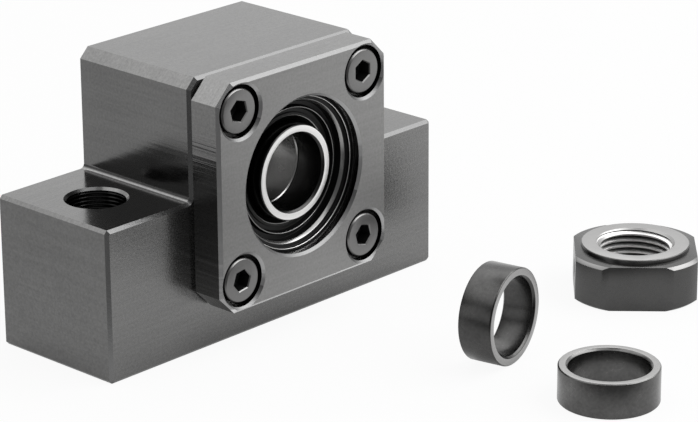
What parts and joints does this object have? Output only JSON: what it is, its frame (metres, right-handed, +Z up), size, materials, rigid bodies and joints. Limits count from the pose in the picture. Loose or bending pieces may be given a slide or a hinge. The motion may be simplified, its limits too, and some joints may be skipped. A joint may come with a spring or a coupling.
{
  "type": "fixed bearing unit",
  "caption": "T-shaped steel block that holds the fixed end of a ball screw in sealed angular contact bearings, with its lock nut and spacer rings lying loose beside it.",
  "frame": {"origin": "middle of the housing's base face, below the shaft line and half way through the housing's depth", "axes": "+Z up from the base face, +Y along the shaft from the cover towards the back, +X along the base across the shaft"},
  "size_m": [0.0931, 0.0884, 0.043],
  "materials": {
    "blackened_steel": "ground and blackened, with a fine straight brushing",
    "screw_steel": "black oxide",
    "bearing_steel": "ground",
    "ball_steel": "polished",
    "cage_plastic": "moulded",
    "seal_rubber": "smooth moulded rubber",
    "collar_steel": "black oxide with ground ends",
    "nut_steel": "black oxide with a ground seat and a bright thread",
    "pad_brass": "plain"
  },
  "bodies": {
    "housing": {"housing": "blackened_steel", "cover": "blackened_steel", "cover_screw_1": "screw_steel", "cover_screw_2": "screw_steel", "cover_screw_3": "screw_steel", "cover_screw_4": "screw_steel", "front_bearing_outer_ring": "bearing_steel", "rear_bearing_outer_ring": "bearing_steel", "front_seal": "seal_rubber", "rear_seal": "seal_rubber", "spacer_ring_1": "collar_steel", "spacer_ring_2": "collar_steel", "lock_nut": "nut_steel", "lock_nut_set_screw": "screw_steel", "lock_nut_pad": "pad_brass"},
    "rotor": {"front_collar": "collar_steel", "front_bearing_inner_ring": "bearing_steel", "rear_bearing_inner_ring": "bearing_steel", "rear_collar": "collar_steel"},
    "front_ball_train": {"front_bearing_cage": "cage_plastic", "front_ball_1": "ball_steel", "front_ball_2": "ball_steel", "front_ball_3": "ball_steel", "front_ball_4": "ball_steel", "front_ball_5": "ball_steel", "front_ball_6": "ball_steel", "front_ball_7": "ball_steel", "front_ball_8": "ball_steel", "front_ball_9": "ball_steel", "front_ball_10": "ball_steel"},
    "rear_ball_train": {"rear_bearing_cage": "cage_plastic", "rear_ball_1": "ball_steel", "rear_ball_2": "ball_steel", "rear_ball_3": "ball_steel", "rear_ball_4": "ball_steel", "rear_ball_5": "ball_steel", "rear_ball_6": "ball_steel", "rear_ball_7": "ball_steel", "rear_ball_8": "ball_steel", "rear_ball_9": "ball_steel", "rear_ball_10": "ball_steel"}
  },
  "joints": [
    {"name": "rotor_spin", "type": "hinge", "parent": "housing", "child": "rotor", "pos_m": [0, 0, 0.025], "axis": [0, 1, 0], "continuous": true},
    {"name": "front_ball_train_orbit", "type": "hinge", "parent": "housing", "child": "front_ball_train", "pos_m": [0, 0, 0.025], "axis": [0, 1, 0], "continuous": true},
    {"name": "rear_ball_train_orbit", "type": "hinge", "parent": "housing", "child": "rear_ball_train", "pos_m": [0, 0, 0.025], "axis": [0, 1, 0], "continuous": true}
  ],
  "couplings": [
    {"joint": "front_ball_train_orbit", "follows": "rotor_spin", "ratio": 0.3969},
    {"joint": "rear_ball_train_orbit", "follows": "rotor_spin", "ratio": 0.3969}
  ]
}
